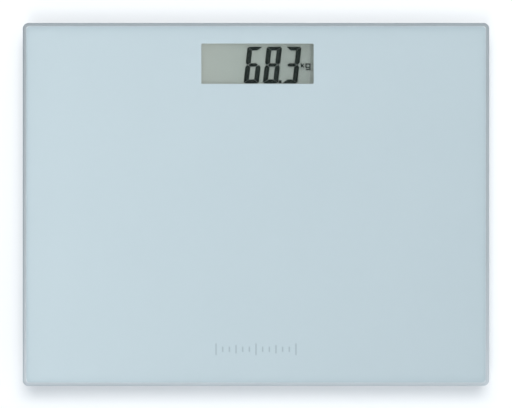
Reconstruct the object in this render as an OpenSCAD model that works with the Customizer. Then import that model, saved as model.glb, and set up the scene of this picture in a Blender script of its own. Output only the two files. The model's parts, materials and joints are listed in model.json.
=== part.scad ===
// Electronic bathroom scale: a tempered glass platform, colour-coated on its underside and bonded
// to a shallow plastic case, which stands on four load-cell feet. A liquid-crystal display reads
// through a clear window in the coat, near the rear edge.
// Millimetres, +Z up, display towards +Y. The origin is on the floor under the platform's middle.

/* [Platform] */
// Width of the glass platform, left to right
platform_w = 280; // [270:2:320]
// Depth of the glass platform, front to rear
platform_d = 218; // [214:2:260]
// Thickness of the glass
glass_t = 5; // [4:0.5:8]
// Radius of the platform's corners, seen from above
corner_r = 3.5; // [2.5:0.5:4.5]
// Radius of the ground edge, all round the top and bottom of the glass
edge_r = 1.9; // [0.5:0.1:1.9]
// Clear glass left between the colour coat and the edge
coat_margin = 2; // [2:0.1:3]

/* [Display] */
// Width of the clear window
window_w = 67.5; // [62:0.5:70]
// Depth of the clear window
window_d = 24.2; // [22:0.2:25.2]
// Offset of the window to the right of the platform's middle
window_x = 0.9; // [-2:0.1:2]
// Distance from the window to the rear edge of the glass
window_margin = 12.3; // [11.9:0.1:16]
// Height of the digits
digit_h = 21.9; // [16:0.1:22]
// Width of one digit
digit_w = 9.2; // [7:0.1:9.6]
// Distance from one digit to the next
digit_pitch = 11.6; // [11:0.1:12]
// Lean of the digits, in degrees
digit_lean = 6.5; // [0:0.5:10]

/* [Case] */
// Height of the case's underside above the floor
ground_gap = 4; // [3.5:0.1:4]
// Height of the case, from its underside to the bonding tape
case_h = 12; // [12:0.5:14]
// Distance the case's upper edge stands in from the edge of the glass
case_inset = 4.5; // [3:0.5:5]
// Extra distance its foot stands in, which makes the sloped sides
case_draft = 5.5; // [3:0.5:6]
// Thickness of the case's walls
wall_t = 2.2; // [1.8:0.1:2.4]

/* [Feet] */
// Distance from a foot's centre to each of the two nearest glass edges
foot_inset = 41; // [41:1:50]
// Radius of the rubber pad
pad_r = 15.5; // [12:0.5:16]
// Travel of a foot from unloaded to its overload stop
foot_travel = 0.5; // [0.3:0.1:0.6]

/* [Battery] */
// Diameter of the coin cell
coin_d = 20; // [16:4:20]
// Thickness of the coin cell
coin_t = 3.2; // [1.6:1.6:3.2]

/* [Hidden] */
$fn = 48;
cut = 0.05;                          // how far a cut runs past the face that it opens
touch = 0.02;                        // air between two pieces that bear on each other
corner_steps = 8;                    // facets in each corner of a rounded rectangle
CORNERS = [["front_left", -1, -1], ["front_right", 1, -1], ["rear_left", -1, 1], ["rear_right", 1, 1]];

// Heights
tape_t = 0.8;
coat_t = 0.2;
floor_t = 2;
rim_t = 2;
case_z = ground_gap;
case_top = case_z + case_h;
coat_z = case_top + tape_t;
glass_z = coat_z + coat_t;
floor_z = case_z + floor_t;
rim_z = case_top - rim_t;
board_z = case_z + 4.8;
board_t = 1.2;
board_top = board_z + board_t;

// Places
window_y = platform_d / 2 - window_margin - window_d / 2;
foot_x = platform_w / 2 - foot_inset;
foot_y = platform_d / 2 - foot_inset;
battery_y = 28;
button = [34, 60];

// Printed mark
print_t = 0.1;
print_y = 22 - platform_d / 2;
tick_pitch = 4;
tick_w = 0.9;
tick_reach = 6;                      // ticks on each side of the middle one

// Case outline: pairs of height and inset, from the underside to the upper edge
case_profile = [
    [case_z, case_inset + case_draft + 1.3],
    [case_z + 0.6, case_inset + case_draft],
    [case_top - 3, case_inset + 0.5],
    [case_top, case_inset]
];
case_corner_r = 9;
rim_inset = 13;
rib_t = 1.4;
rib_root = floor_z - 0.5;            // ribs start inside the floor
rib_top = case_top - 0.8;
rib_y = [-foot_y, -30, 6, 47];
rib_x = 48;
strip_w = 8;                         // strips of tape over the rails on the ribs
strip_l = 70;
label_size = [116, 54];
label_y = -48;

// Load-cell wells
well_r = 22.5;
well_wall = 2;
well_roof_t = 2.4;
well_roof = case_top - well_roof_t;
pillar_r = 2.4;
collar_r = 27;
collar_t = 2.2;
collar_base_r = 29;
collar_clear = 0.2;
lip_r = 17.6;
lip_t = 1.4;
screw_ring_r = 24.7;
screw_boss_r = 2.6;
SCREW_ANGLES = [90, 210, 330];

// Load cell
cell_size = 33;
cell_plate_t = 2.2;
cell_gap = 1;                        // air over the plate, for the tongue and the wires
cell_top = well_roof - cell_gap;
cell_bottom = cell_top - cell_plate_t;
slot_w = 2;
tongue_w = 11;
tongue_l = 20;
seal_x = -8.5;                       // gauge seal, towards the middle of the case
seal_size = [9, 8, 0.7];

// Foot
foot_r = 17;
flange_r = 19.8;
flange_t = 1.5;
flange_z = case_z + lip_t + 0.05;
pad_t = 2.5;
pad_socket = 1;
foot_bottom = pad_t - pad_socket;
boss_r = 4;
stop_r = 1.4;
stop_reach = 12.4;

// Display stack, from the reflector up to the gasket
film_t = 0.2;
lcd_glass_t = 0.7;
liquid_t = 0.1;
polariser_t = 0.15;
reflector_z = coat_z - 2.5;
rear_glass_z = reflector_z + film_t;
segment_z = rear_glass_z + lcd_glass_t;
front_glass_z = segment_z + liquid_t;
polariser_z = front_glass_z + lcd_glass_t;
gasket_z = polariser_z + polariser_t;
lcd_w = window_w + 5;
lcd_d = window_d + 2.6;
lcd_ledge = 2.9;                     // contact ledge of the front glass, at the front
ledge_y = -lcd_d / 2 - lcd_ledge;    // front edge of that ledge, from the window's centre
holder_gap = 0.15;
holder_wall = 1.05;
ear_x = 42.5;
EAR_Y = [-11, 9];
ear_t = 1.5;
board_screw_head = 1.2;

// Reading: the bars that are dark in each digit, and the middle digit's centre in the window
READING = ["acdefg", "abcdefg", "abcdg"];
reading_at = [9, -0.65];
bar_side_t = 3;
bar_end_t = 2.2;
bar_middle_t = 1.95;
bar_gap = 0.13;
point_size = 1.7;
unit_at = [window_w / 2 - 7.4, -1.1];
unit_w = 0.6;

// Battery pocket and its cover
pocket_r = coin_d / 2 + 0.4;
pocket_wall = 1.8;
pocket_roof = case_z + 6.4;
pocket_top = pocket_roof + 1;
block_h = 3.4;
coin_z = case_z + 2.4;
coin_top = coin_z + coin_t;
cover_t = 1.4;
cover_w = 26;
cover_l = 27;
cover_gap = 0.2;
hinge_y = battery_y + 12;            // the cover turns about this edge of its underside
tongue_reach = 2;
TONGUE_X = [-8, 8];
leaf_w = 4;
leaf_t = 0.3;
solder_z = board_top + touch;        // where a contact's tail lies on the board

// Unit button
button_r = 2.9;
button_gap = 0.2;
button_flange_r = 4.2;
button_flange_z = floor_z + 0.1;
button_flange_t = 0.5;
switch_size = [6, 6, 1.1];
plunger_r = 1.6;
plunger_h = 1.1;
plunger_z = board_z - 1.8;

// Wires: the middle wire's route on the right-hand side, from the load cell to the board
wire_r = 0.45;
wire_sides = 8;
wire_pitch = 1.3;
lane_x = 69;
lane_w = 8;
joint_x = 45;
front_joint_y = 56.5;
rear_joint_y = 62;
FRONT_ROUTE = [
    [86, -68, 13.1], [80, -68, 13.1], [74, -67, 12.3], [70.5, -63.5, 10], [lane_x, -58, 7.6],
    [lane_x, -50, 6.65], [lane_x, 0, 6.65], [lane_x, 40, 6.65], [67.5, 48, 7.4], [63, 53.5, 9.2],
    [56, 56.3, 10.4], [50, front_joint_y, 10.55], [45.6, front_joint_y, 10.55]
];
REAR_ROUTE = [
    [86, 68, 13.1], [80, 68, 13.1], [73, 66.5, 12.4], [66, 64, 11.2], [59, 62.4, 10.6],
    [52, rear_joint_y, 10.55], [45.6, rear_joint_y, 10.55]
];

// ---- Shared shapes ----

// Corner points of a rounded rectangle at height z, counter-clockwise seen from above
function round_ring(w, d, r, z = 0) = [
    for (q = [0:3], i = [0:corner_steps])
        let (a = 90 * q + 90 * i / corner_steps,
             cx = (q == 0 || q == 3 ? 1 : -1) * (w / 2 - r),
             cy = (q < 2 ? 1 : -1) * (d / 2 - r))
        [cx + r * cos(a), cy + r * sin(a), z]
];

// The same, for an outline that stands in from the platform's edge
function inset_ring(inset, r, z) = round_ring(platform_w - 2 * inset, platform_d - 2 * inset, r, z);

function flat(ring) = [for (p = ring) [p[0], p[1]]];

// A solid skinned over a stack of rings that all have the same number of points
module loft(rings) {
    n = len(rings[0]);
    last = len(rings) - 1;
    polyhedron(
        points = [for (ring = rings) each ring],
        faces = concat(
            [[for (i = [0:n - 1]) i]],
            [[for (i = [n - 1:-1:0]) last * n + i]],
            [for (k = [0:last - 1], i = [0:n - 1])
                let (j = (i + 1) % n) [k * n + i, (k + 1) * n + i, (k + 1) * n + j]],
            [for (k = [0:last - 1], i = [0:n - 1])
                let (j = (i + 1) % n) [k * n + i, (k + 1) * n + j, k * n + j]]
        )
    );
}

// A flat plate with rounded corners, centred on X and Y
module plate(w, d, r, t) {
    linear_extrude(t) polygon(flat(round_ring(w, d, r)));
}

// A plate with a rounded opening through it
module frame_plate(w, d, r, inner_w, inner_d, inner_r, t) {
    difference() {
        plate(w, d, r, t);
        translate([0, 0, -cut]) plate(inner_w, inner_d, inner_r, t + 2 * cut);
    }
}

module box_at(low, size) {
    translate(low) cube(size);
}

module at_window(z = 0) {
    translate([window_x, window_y, z]) children();
}

module at_ears(z = 0) {
    at_window(z) for (x = [-ear_x, ear_x], y = EAR_Y) translate([x, y, 0]) children();
}

module at_corner(c) {
    translate([c[1] * foot_x, c[2] * foot_y, 0]) children();
}

// Turns a shape made for the rear right corner to face the same way in corner c
module facing(c) {
    mirror([c[1] < 0 ? 1 : 0, 0, 0]) mirror([0, c[2] < 0 ? 1 : 0, 0]) children();
}

// Cross-head screw, head down, with the head's outer face at z = 0
module screw(head_r, head_t, shank_r, length) {
    bevel = 0.3;
    groove_w = 0.5;
    groove_d = 0.6;
    difference() {
        union() {
            cylinder(r1 = head_r - bevel, r2 = head_r, h = bevel);
            translate([0, 0, bevel]) cylinder(r = head_r, h = head_t - bevel);
            translate([0, 0, head_t]) cylinder(r = shank_r, h = length - head_t);
        }
        for (a = [45, 135]) rotate(a)
            box_at([-head_r * 0.6, -groove_w / 2, -cut], [head_r * 1.2, groove_w, groove_d + cut]);
    }
}

// ---- Platform ----

module glass_platform() {
    steps = 5;
    color([0.78, 0.86, 0.88, 0.5]) loft(concat(
        [for (i = [0:steps])
            let (a = 90 * i / steps, inset = edge_r * (1 - sin(a)))
            inset_ring(inset, corner_r - inset, glass_z + edge_r * (1 - cos(a)))],
        [for (i = [0:steps])
            let (a = 90 * i / steps, inset = edge_r * (1 - cos(a)))
            inset_ring(inset, corner_r - inset, glass_z + glass_t - edge_r * (1 - sin(a)))]
    ));
}

// A row of graduation ticks, the longest in the middle and at both ends
module tick_marks() {
    for (i = [-tick_reach:tick_reach]) {
        h = i % tick_reach == 0 ? 7 : (i % 3 == 0 ? 5 : 3.2);
        translate([i * tick_pitch, print_y]) square([tick_w, h], center = true);
    }
}

module colour_coat() {
    corner = 2;
    color([0.76, 0.83, 0.86]) difference() {
        translate([0, 0, coat_z])
            plate(platform_w - 2 * coat_margin, platform_d - 2 * coat_margin, corner, coat_t);
        at_window(coat_z - cut) plate(window_w, window_d, 0.6, coat_t + 2 * cut);
        translate([0, 0, glass_z - print_t]) linear_extrude(print_t + cut) tick_marks();
    }
}

module printed_mark() {
    color([0.67, 0.73, 0.76])
        translate([0, 0, glass_z - print_t]) linear_extrude(print_t) tick_marks();
}

// Opening in the case's rim and in the tape, which the display's holder stands in
module display_opening(z, h) {
    at_window(z) box_at([-lcd_w / 2 - 1.6, -window_d / 2 - 5.8, 0], [lcd_w + 3.2, window_d + 8.9, h]);
}

module bond_tape() {
    ring_inset = 7;
    ring_w = 5;
    disc_r = 19;
    inner = ring_inset + ring_w;
    color("white") {
        difference() {
            translate([0, 0, case_top])
                frame_plate(platform_w - 2 * ring_inset, platform_d - 2 * ring_inset, 6,
                            platform_w - 2 * inner, platform_d - 2 * inner, 4, tape_t);
            display_opening(case_top - cut, tape_t + 2 * cut);
        }
        for (c = CORNERS) at_corner(c)
            translate([0, 0, case_top]) cylinder(r = disc_r, h = tape_t);
        for (x = [-rib_x, rib_x])
            box_at([x - strip_w / 2, -strip_l, case_top], [strip_w, strip_l, tape_t]);
    }
}

// ---- Case ----

module case_cavity() {
    low = case_profile[1];
    high = case_profile[2];
    slope = (high[1] - low[1]) / (high[0] - low[0]);
    loft([for (p = [[floor_z, low[1] + slope * (floor_z - low[0])], high, [rim_z, high[1] - 0.1]])
        inset_ring(p[1] + wall_t, case_corner_r - wall_t, p[0])]);
    translate([0, 0, rim_z - cut])
        plate(platform_w - 2 * rim_inset, platform_d - 2 * rim_inset, 4, rim_t + 2 * cut);
}

// Ribs across the floor, and a rail on each of the two ribs that carry a strip of tape
module strengthening_ribs() {
    side_gap = case_inset + case_draft + 4;
    long_x = platform_w / 2 - side_gap;
    long_y = platform_d / 2 - side_gap;
    h = rib_top - rib_root;
    for (y = rib_y)
        box_at([-long_x, y - rib_t / 2, rib_root], [2 * long_x, rib_t, h]);
    for (x = [-foot_x, foot_x])
        box_at([x - rib_t / 2, -long_y, rib_root], [rib_t, 2 * long_y, h]);
    for (x = [-rib_x, rib_x]) {
        box_at([x - rib_t / 2, -long_y, rib_root], [rib_t, long_y + rib_y[3], h]);
        box_at([x - strip_w / 2, -strip_l, rib_top - 1], [strip_w, strip_l, case_top - rib_top + 1]);
    }
    box_at([-rib_t / 2, -long_y, rib_root], [rib_t, long_y + rib_y[2], h]);
}

module well_body() {
    translate([0, 0, case_z]) {
        cylinder(r = well_r + well_wall, h = case_h);
        cylinder(r = collar_base_r, h = 2 * collar_t);
        for (a = SCREW_ANGLES) rotate(a)
            translate([screw_ring_r, 0, 0]) cylinder(r = screw_boss_r, h = 8.5);
    }
}

module well_cut(c) {
    notch = [14, 10, cell_plate_t + cell_gap];
    translate([0, 0, case_z - cut]) {
        cylinder(r = well_r, h = case_h - well_roof_t + cut);
        cylinder(r = collar_r + collar_clear, h = collar_t + cut);
    }
    for (a = SCREW_ANGLES) rotate(a)
        translate([screw_ring_r, 0, case_z]) cylinder(r = 0.9, h = 7.5);
    facing(c) box_at([-well_r - 7.5, -notch[1] / 2, cell_bottom], notch);
}

// Four feet on the roof of a well, which press on the corners of the load cell
module well_pillars() {
    reach = cell_size / 2 - 4;
    for (x = [-reach, reach], y = [-reach, reach])
        translate([x, y, cell_top]) cylinder(r = pillar_r, h = cell_gap + cut);
}

// Openings in the ribs that the wires pass through, along both sides
module wire_lanes() {
    for (x = [-lane_x, lane_x]) {
        box_at([x - lane_w / 2, -62, floor_z + 0.1], [lane_w, 114, case_h]);
        box_at([x - 5, -foot_y - 5, floor_z + 2.5], [10, 10, case_h]);
    }
}

module battery_block() {
    translate([0, battery_y, case_z]) {
        cylinder(r = pocket_r + pocket_wall, h = pocket_top - case_z);
        translate([0, -1.5, 0]) plate(cover_w + 8, cover_l + 9, 3, block_h);
    }
}

module battery_cut() {
    recess_l = cover_l + 2 * cover_gap;
    scoop_r = 7;
    scoop_d = 1.1;
    translate([0, battery_y, case_z]) cylinder(r = pocket_r, h = pocket_roof - case_z);
    translate([0, hinge_y + cover_gap - recess_l / 2, case_z - cut])
        plate(cover_w + 2 * cover_gap, recess_l, 1.4, cover_t + 0.1 + cut);
    for (x = TONGUE_X)
        box_at([x - 2.8, hinge_y - 2.2, case_z + 0.7], [5.6, tongue_reach + 2.8, block_h]);
    // ways out for the two contacts
    box_at([pocket_r - 1, battery_y - leaf_w / 2 - 0.8, coin_z - 0.4],
           [1.4, leaf_w + 1.6, pocket_top - coin_z + 0.6]);
    box_at([-leaf_w / 2 - 0.6, battery_y + pocket_r - 1, pocket_roof - 0.5],
           [leaf_w + 1.2, 4, 0.6]);
    box_at([-pocket_r * 1.5, rib_y[3] - rib_t, floor_z], [pocket_r * 3, 2 * rib_t, case_h]);
    // finger scoop at the snap tab
    translate([0, hinge_y - cover_l, case_z - cut]) intersection() {
        cylinder(r = scoop_r, h = scoop_d + cut);
        box_at([-scoop_r, -scoop_r, 0], [2 * scoop_r, scoop_r, scoop_d + cut]);
    }
}

module button_cut() {
    dish_r = 5.6;
    dish_d = 0.5;
    translate([button[0], button[1], case_z - cut]) {
        cylinder(r = button_r + button_gap, h = floor_t + 2 * cut);
        cylinder(r = dish_r, h = dish_d + cut);
    }
}

module base_tray() {
    color([0.90, 0.91, 0.92]) {
        difference() {
            union() {
                difference() {
                    loft([for (p = case_profile) inset_ring(p[1], case_corner_r, p[0])]);
                    case_cavity();
                }
                strengthening_ribs();
                for (c = CORNERS) at_corner(c) well_body();
                battery_block();
                at_ears(rib_root) cylinder(r = 3, h = board_z - rib_root);
            }
            for (c = CORNERS) at_corner(c) well_cut(c);
            battery_cut();
            button_cut();
            display_opening(rim_z - 1, rim_t + 1 + cut);
            wire_lanes();
            at_ears(case_z + 1) cylinder(r = 1.05, h = board_z - case_z);
            translate([0, label_y, case_z - cut])
                plate(label_size[0], label_size[1], 3, 0.4 + cut);
        }
        for (c = CORNERS) at_corner(c) well_pillars();
    }
}

// ---- Display ----

module display_gasket() {
    color([0.25, 0.26, 0.27]) at_window(gasket_z)
        frame_plate(window_w + 3.8, window_d + 2.4, 1, window_w + 0.8, window_d + 0.8, 0.8,
                    coat_z - gasket_z);
}

module lcd_polariser() {
    color([0.66, 0.70, 0.67, 0.4]) at_window(polariser_z)
        plate(lcd_w - 1, lcd_d - 0.2, 0.5, polariser_t);
}

module lcd_front_glass() {
    color([0.80, 0.86, 0.84, 0.5]) at_window(front_glass_z)
        translate([0, -lcd_ledge / 2, 0]) plate(lcd_w, lcd_d + lcd_ledge, 0.3, lcd_glass_t);
}

module lcd_rear_glass() {
    color([0.80, 0.86, 0.84, 0.5]) at_window(rear_glass_z) plate(lcd_w, lcd_d, 0.3, lcd_glass_t);
}

module lcd_reflector() {
    color([0.66, 0.70, 0.66]) at_window(reflector_z) plate(lcd_w, lcd_d, 0.3, film_t);
}

// A polygon sheared so that it leans to the right
module leaning(points) {
    polygon([for (p = points) [p[0] + p[1] * tan(digit_lean), p[1]]]);
}

function flip_x(points) = [for (p = points) [-p[0], p[1]]];
function flip_y(points) = [for (p = points) [p[0], -p[1]]];

// One bar of a digit, about the digit's centre: a is the top bar, b to f follow it clockwise,
// and g is the middle one
module bar(letter) {
    x = digit_w / 2;
    y = digit_h / 2;
    inner = x - bar_side_t;
    half = bar_middle_t / 2;
    top = [
        [-x + bar_gap, y], [x - bar_gap, y],
        [inner - bar_gap, y - bar_end_t], [-inner + bar_gap, y - bar_end_t]
    ];
    upper_right = [
        [x, y - bar_gap], [x, 1.4], [x - 0.9, bar_gap], [x - 1.3, bar_gap],
        [inner, half + bar_gap + 0.2], [inner, y - bar_end_t - bar_gap]
    ];
    middle = [
        [-inner - 1.2, 0], [-inner - 0.1, half], [inner + 0.1, half],
        [inner + 1.2, 0], [inner + 0.1, -half], [-inner - 0.1, -half]
    ];
    if (letter == "a") leaning(top);
    if (letter == "b") leaning(upper_right);
    if (letter == "c") leaning(flip_y(upper_right));
    if (letter == "d") leaning(flip_y(top));
    if (letter == "e") leaning(flip_x(flip_y(upper_right)));
    if (letter == "f") leaning(flip_x(upper_right));
    if (letter == "g") leaning(middle);
}

// A digit from the bars that are dark, with its outer corners clipped
module digit(bars) {
    x = digit_w / 2;
    y = digit_h / 2;
    clip = 0.9;
    intersection() {
        union() for (letter = bars) bar(letter);
        leaning([
            [-x, -y + clip], [-x + clip, -y], [x - clip, -y], [x, -y + clip],
            [x, y - clip], [x - clip, y], [-x + clip, y], [-x, y - clip]
        ]);
    }
}

// A straight stroke of constant width, between two points
module stroke(a, b) {
    along = (b - a) / norm(b - a);
    side = [-along[1], along[0]] * unit_w / 2;
    polygon([a + side, b + side, b - side, a - side]);
}

// The unit sign for kilograms, from straight strokes
module unit_sign() {
    half = 1;                        // half the height of a small letter
    g_x = 2.8;                       // left edge of the second letter
    g_w = 2.4;
    tail = 1.3;                      // how far its tail hangs down
    stroke([0, -half], [0, half + 0.4]);
    stroke([0.1, -0.1], [1.5, half]);
    stroke([0.1, 0.1], [1.6, -half]);
    translate([g_x, 0]) {
        stroke([0, -half], [0, half]);
        stroke([-unit_w / 2, half], [g_w, half]);
        stroke([-unit_w / 2, -half], [g_w, -half]);
        stroke([g_w, -half - tail], [g_w, half + unit_w / 2]);
        stroke([0, -half - tail], [g_w + unit_w / 2, -half - tail]);
    }
}

module lcd_segments() {
    color([0.18, 0.21, 0.20]) at_window(segment_z) linear_extrude(liquid_t) {
        for (i = [0:2])
            translate(reading_at + [(i - 1) * digit_pitch, 0]) digit(READING[i]);
        translate(reading_at + [digit_pitch / 2 - 1.2, (point_size - digit_h) / 2])
            square(point_size, center = true);
        translate(unit_at) unit_sign();
    }
}

module lcd_holder() {
    inner_w = lcd_w + 2 * holder_gap;
    inner_d = lcd_d + lcd_ledge + 2 * holder_gap;
    opening = [lcd_w - 8, window_d - 2];
    zebra_slot = [lcd_w - 4, 2.2];
    bridge = [5, 6.4];
    h = polariser_z - board_top;
    color([0.93, 0.93, 0.90]) difference() {
        union() {
            at_window(board_top) translate([0, -lcd_ledge / 2, 0])
                plate(inner_w + 2 * holder_wall, inner_d + 2 * holder_wall, 1, h);
            at_ears(board_top) cylinder(r = bridge[1] / 2, h = ear_t);
            at_window(board_top) for (x = [-1, 1], y = EAR_Y)
                box_at([x * (ear_x - 3) - bridge[0] / 2, y - bridge[1] / 2, 0],
                       [bridge[0], bridge[1], ear_t]);
        }
        at_window(reflector_z) translate([0, -lcd_ledge / 2, 0]) plate(inner_w, inner_d, 0.5, h);
        at_window(board_top - cut) plate(opening[0], opening[1], 1, h);
        at_window(board_top - cut) box_at([-zebra_slot[0] / 2, ledge_y, 0],
                                          [zebra_slot[0], zebra_slot[1], h]);
        at_ears(board_top - cut) cylinder(r = 1.1, h = ear_t + 2 * cut);
    }
}

// Rubber connector that joins the front glass to the board
module zebra_strip() {
    size = [lcd_w - 4.4, 1.9, front_glass_z - board_top];
    color([0.35, 0.36, 0.38]) at_window(board_top)
        box_at([-size[0] / 2, ledge_y + 0.1, 0], size);
}

// ---- Electronics ----

module main_board() {
    w = 96;
    front = 52;
    rear = window_y + window_d / 2 + 0.3;
    color([0.16, 0.42, 0.27]) difference() {
        box_at([window_x - w / 2, front, board_z], [w, rear - front, board_t]);
        at_ears(board_z - cut) cylinder(r = 1.1, h = board_t + 2 * cut);
    }
}

module controller_blob() {
    color([0.08, 0.08, 0.09]) translate([-12, 60, board_top]) rotate_extrude()
        polygon([[0, 0], [6, 0], [5.4, 0.5], [4.2, 0.95], [2.4, 1.25], [0, 1.35]]);
}

// Rows of small chips, a resonator and two capacitors
module board_parts() {
    chip = [2, 1.25, 0.6];
    chip_pitch = 3.2;
    color([0.30, 0.27, 0.24]) {
        for (i = [0:3]) box_at([13.5 + chip_pitch * i, 55, board_top], chip);
        for (i = [0:2]) box_at([13.5 + chip_pitch * i, 58.6, board_top], chip);
        for (i = [0:3]) box_at([-34 + chip_pitch * i, 55.2, board_top], chip);
        box_at([-34, 59, board_top], [5, 4, 1.5]);
        translate([26, 63.4, board_top]) cylinder(r = 2.2, h = 4.6);
        translate([-22.5, 62, board_top]) cylinder(r = 1.6, h = 1.2);
    }
}

// A solder joint at the end of each load-cell wire
module solder_joints() {
    color([0.75, 0.76, 0.78])
        for (x = [-joint_x, joint_x], y = [front_joint_y, rear_joint_y], i = [-1:1])
            translate([x, y + i * wire_pitch, board_top]) cylinder(r1 = 0.58, r2 = 0.35, h = 0.7);
}

module board_screws() {
    color([0.72, 0.73, 0.75]) at_ears(board_top + ear_t + board_screw_head)
        mirror([0, 0, 1]) screw(1.9, board_screw_head, 1, 6.4);
}

module tact_switch() {
    color([0.14, 0.14, 0.15]) translate([button[0], button[1], board_z - switch_size[2]])
        difference() {
            box_at([-switch_size[0] / 2, -switch_size[1] / 2, 0], switch_size);
            translate([0, 0, -cut]) cylinder(r = plunger_r + 0.15, h = 1);
        }
}

module switch_plunger() {
    color([0.75, 0.30, 0.22]) translate([button[0], button[1], plunger_z])
        cylinder(r = plunger_r, h = plunger_h);
}

module unit_button() {
    bevel = 0.4;
    stem_z = button_flange_z + button_flange_t;
    color([0.42, 0.45, 0.47]) translate([button[0], button[1], 0]) {
        translate([0, 0, case_z]) cylinder(r1 = button_r - bevel, r2 = button_r, h = bevel);
        translate([0, 0, case_z + bevel])
            cylinder(r = button_r, h = button_flange_z - case_z - bevel);
        translate([0, 0, button_flange_z]) cylinder(r = button_flange_r, h = button_flange_t);
        translate([0, 0, stem_z]) cylinder(r = 1.4, h = plunger_z - stem_z);
    }
}

// ---- Battery ----

module coin_cell() {
    rim_h = 0.5;
    rim_w = 0.6;
    color([0.78, 0.79, 0.80]) translate([0, battery_y, coin_z]) {
        cylinder(r = coin_d / 2, h = coin_t - rim_h);
        translate([0, 0, coin_t - rim_h])
            cylinder(r1 = coin_d / 2 - rim_w, r2 = coin_d / 2 - 1.5 * rim_w, h = rim_h);
    }
}

// A thin strip bent along a side view: points are [y, z] along its lower face
module bent_strip(x, w, t, points) {
    n = len(points) - 1;
    translate([x, 0, 0]) rotate([90, 0, 90]) linear_extrude(w)
        polygon(concat(points, [for (i = [n:-1:0]) points[i] + [0, t]]));
}

// Leaf spring under the pocket's roof, touching the top of the cell, with a tail to the board
module contact_minus() {
    roof = pocket_roof - leaf_t - touch;
    color([0.80, 0.74, 0.55]) bent_strip(-leaf_w / 2, leaf_w, leaf_t, [
        [battery_y - 7, coin_top + 0.35], [battery_y - 5, coin_top + touch],
        [battery_y - 2, coin_top + 0.1], [battery_y + 4, roof],
        [battery_y + pocket_r + 2.2, roof], [battery_y + 21, solder_z], [battery_y + 28, solder_z]
    ]);
}

// Upright leaf against the side of the cell, with a tail over the pocket to the board
module contact_plus() {
    x = coin_d / 2 + touch;
    top = pocket_top + touch;
    tail_w = 3;
    color([0.80, 0.74, 0.55]) {
        box_at([x, battery_y - leaf_w / 2, coin_z + 0.3], [leaf_t, leaf_w, top - coin_z]);
        bent_strip(x + leaf_t - tail_w, tail_w, leaf_t, [
            [battery_y - leaf_w / 2, top], [battery_y + 15, top],
            [battery_y + 26, solder_z], [battery_y + 30, solder_z]
        ]);
    }
}

module battery_cover() {
    front = hinge_y - cover_l + cover_gap;
    rear = hinge_y - cover_gap;
    tongue_z = 0.85;
    tab_w = 10.4;
    slit = [0.8, 6];
    grip = [12, 0.9, 0.4];
    prop = [1, 12, coin_z - case_z - cover_t - 0.1];
    color([0.86, 0.87, 0.88]) translate([0, 0, case_z]) {
        difference() {
            translate([0, (front + rear) / 2, 0]) plate(cover_w, rear - front, 1.2, cover_t);
            // slits that free the snap tab, and grip grooves
            for (x = [-tab_w / 2, tab_w / 2])
                box_at([x - slit[0] / 2, front - cut, -cut], [slit[0], slit[1], cover_t + 2 * cut]);
            for (i = [0:3])
                box_at([-grip[0] / 2, front + 8.5 + 2.2 * i, -cut], [grip[0], grip[1], grip[2] + cut]);
        }
        for (x = TONGUE_X)
            box_at([x - 2.3, hinge_y - 3, tongue_z], [4.6, 3 + tongue_reach, cover_t - tongue_z]);
        // props that hold the cell against its spring
        for (x = [-5, 5])
            box_at([x - prop[0] / 2, battery_y - prop[1] / 2, cover_t - cut],
                   [prop[0], prop[1], prop[2] + cut]);
    }
}

// ---- Feet, all made on the foot's own axis ----

module foot_shell() {
    top = flange_z + flange_t;
    web = [flange_r - boss_r - 1, 1.2, 1.2];
    color([0.80, 0.81, 0.82]) {
        rotate_extrude() polygon([
            [0, pad_t], [pad_r + 0.1, pad_t], [pad_r + 0.1, foot_bottom],
            [foot_r - 0.5, foot_bottom], [foot_r, foot_bottom + 0.5], [foot_r, flange_z],
            [flange_r, flange_z], [flange_r, top], [0, top]
        ]);
        translate([0, 0, top - cut]) cylinder(r = boss_r, h = cell_bottom - top + cut);
        for (x = [-stop_reach, stop_reach], y = [-stop_reach, stop_reach])
            translate([x, y, top - cut])
                cylinder(r = stop_r, h = cell_bottom - foot_travel - touch - top + cut);
        for (a = [22.5:45:337.5]) rotate(a)
            box_at([boss_r - 0.5, -web[1] / 2, top - cut], web);
    }
}

module foot_pad() {
    groove_t = 0.6;
    bevel = 0.4;
    GROOVES = [[4, 6], [8.8, 10.8]];
    color([0.30, 0.31, 0.33]) rotate_extrude() polygon(concat(
        [[0, 0]],
        [for (g = GROOVES) each [
            [g[0], 0], [g[0] + bevel, groove_t], [g[1] - bevel, groove_t], [g[1], 0]
        ]],
        [[pad_r - 0.8, 0], [pad_r, 0.8], [pad_r, pad_t], [0, pad_t]]
    ));
}

module foot_collar() {
    tube_r = well_r - collar_clear;
    bore_r = flange_r + 0.6;
    bevel = 0.4;
    head_sink = 1.1;
    color([0.84, 0.85, 0.86]) difference() {
        rotate_extrude() polygon([
            [lip_r, case_z + bevel], [lip_r + bevel, case_z],
            [collar_r - bevel, case_z], [collar_r, case_z + bevel],
            [collar_r, case_z + collar_t], [tube_r, case_z + collar_t], [tube_r, cell_bottom],
            [bore_r, cell_bottom], [bore_r, case_z + lip_t], [lip_r, case_z + lip_t]
        ]);
        for (a = SCREW_ANGLES) rotate(a) translate([screw_ring_r, 0, case_z - cut]) {
            cylinder(r = 2.1, h = head_sink + cut);
            cylinder(r = 1.1, h = collar_t + 2 * cut);
        }
    }
}

module collar_screws() {
    color([0.70, 0.71, 0.73]) for (a = SCREW_ANGLES) rotate(a)
        translate([screw_ring_r, 0, case_z + 0.1]) screw(1.95, 1, 0.85, 7);
}

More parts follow.
